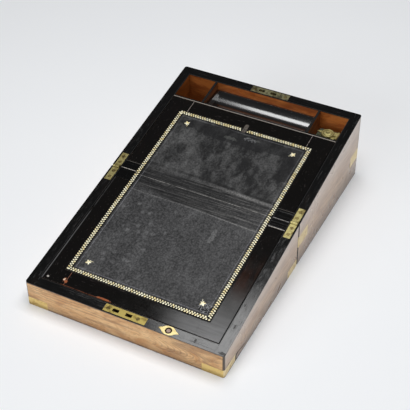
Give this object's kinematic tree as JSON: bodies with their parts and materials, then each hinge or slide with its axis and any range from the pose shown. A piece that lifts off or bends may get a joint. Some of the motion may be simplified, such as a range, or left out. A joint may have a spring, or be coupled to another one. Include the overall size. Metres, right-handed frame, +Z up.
{
  "type": "travel writing box",
  "caption": "Brass-bound wooden writing slope that folds open to one sloping leather surface, with lift-up flaps over storage, a pen tray and an inkwell.",
  "frame": {"origin": "on the table, under the middle of the hinge line of the open box", "axes": "+X to the right along the hinge line, +Y to the tall far end, +Z up"},
  "size_m": [0.305, 0.4774, 0.1128],
  "materials": {
    "walnut": "polished veneer",
    "mahogany": "satin",
    "ebonised_wood": "worn polish",
    "leather": "grained, tooled",
    "tab_leather": "worn",
    "brass": "aged polish",
    "steel": "satin",
    "glass": "clear"
  },
  "bodies": {
    "base": {"base_bottom_board": "mahogany", "base_front_wall": "walnut", "base_left_wall": "walnut", "base_right_wall": "walnut", "base_back_wall": "walnut", "base_left_hinge_leaf": "brass", "base_right_hinge_leaf": "brass", "base_flap_ledges": "mahogany", "base_hinge_leather": "leather", "base_brass_screws": "brass", "base_strap_front_left": "brass", "base_strap_front_right": "brass", "base_strap_back_left": "brass", "base_strap_back_right": "brass", "hinge_pins": "steel", "compartment_partition": "mahogany", "compartment_floor": "mahogany", "left_divider": "mahogany", "right_divider": "mahogany", "tray_bearers": "mahogany", "lock_selvedge_plate": "brass", "lock_case": "brass", "lock_drill_pin": "steel", "keyhole_plate": "brass"},
    "lid": {"lid_top_board": "walnut", "lid_front_wall": "walnut", "lid_left_wall": "walnut", "lid_right_wall": "walnut", "lid_back_wall": "walnut", "lid_left_hinge_leaf": "brass", "lid_right_hinge_leaf": "brass", "lid_flap_ledges": "mahogany", "lid_hinge_leather": "leather", "lid_brass_screws": "brass", "lid_corner_front_left": "brass", "lid_corner_front_right": "brass", "lid_corner_back_left": "brass", "lid_corner_back_right": "brass", "strike_plate": "brass", "flap_lock_plate": "brass", "flap_lock_case": "brass", "flap_lock_pin": "steel"},
    "upper_flap": {"upper_flap_board": "ebonised_wood", "upper_flap_left_cleat": "ebonised_wood", "upper_flap_right_cleat": "ebonised_wood", "upper_writing_leather": "leather", "pull_tab": "tab_leather"},
    "lower_flap": {"lower_flap_board": "ebonised_wood", "lower_flap_left_cleat": "ebonised_wood", "lower_flap_right_cleat": "ebonised_wood", "lower_writing_leather": "leather"},
    "lock_bolt": {"lock_hook_bolt": "brass"},
    "flap_bolt": {"flap_lock_bolt": "brass"},
    "pen_tray": {"pen_tray": "ebonised_wood"},
    "inkwell": {"inkwell_bottle": "glass", "inkwell_collar": "brass", "inkwell_pin": "steel"},
    "inkwell_cap": {"inkwell_cap": "brass", "inkwell_cap_pad": "tab_leather"}
  },
  "joints": [
    {"name": "lid_fold", "type": "hinge", "parent": "base", "child": "lid", "pos_m": [0, 0, 0.0775], "axis": [1, 0, 0], "range_deg": [-180, 0]},
    {"name": "upper_flap_lift", "type": "hinge", "parent": "base", "child": "upper_flap", "pos_m": [0, 0.018, 0.07967], "axis": [1, 0, 0], "range_deg": [0, 95]},
    {"name": "lower_flap_lift", "type": "hinge", "parent": "lid", "child": "lower_flap", "pos_m": [0, -0.018, 0.07432], "axis": [-1, 0, 0], "range_deg": [0, 95]},
    {"name": "lock_bolt_rise", "type": "slide", "parent": "base", "child": "lock_bolt", "axis": [0, 0, 1], "range_m": [0, 0.007]},
    {"name": "flap_bolt_throw", "type": "slide", "parent": "lid", "child": "flap_bolt", "axis": [0, 1, 0], "range_m": [0, 0.004]},
    {"name": "pen_tray_lift", "type": "slide", "parent": "base", "child": "pen_tray", "axis": [0, 0, 1], "range_m": [0, 0.06]},
    {"name": "inkwell_lift", "type": "slide", "parent": "base", "child": "inkwell", "axis": [0, 0, 1], "range_m": [0, 0.085]},
    {"name": "inkwell_cap_hinge", "type": "hinge", "parent": "inkwell", "child": "inkwell_cap", "pos_m": [0.1292, 0.19825, 0.0905], "axis": [0, 1, 0], "range_deg": [0, 90]}
  ]
}
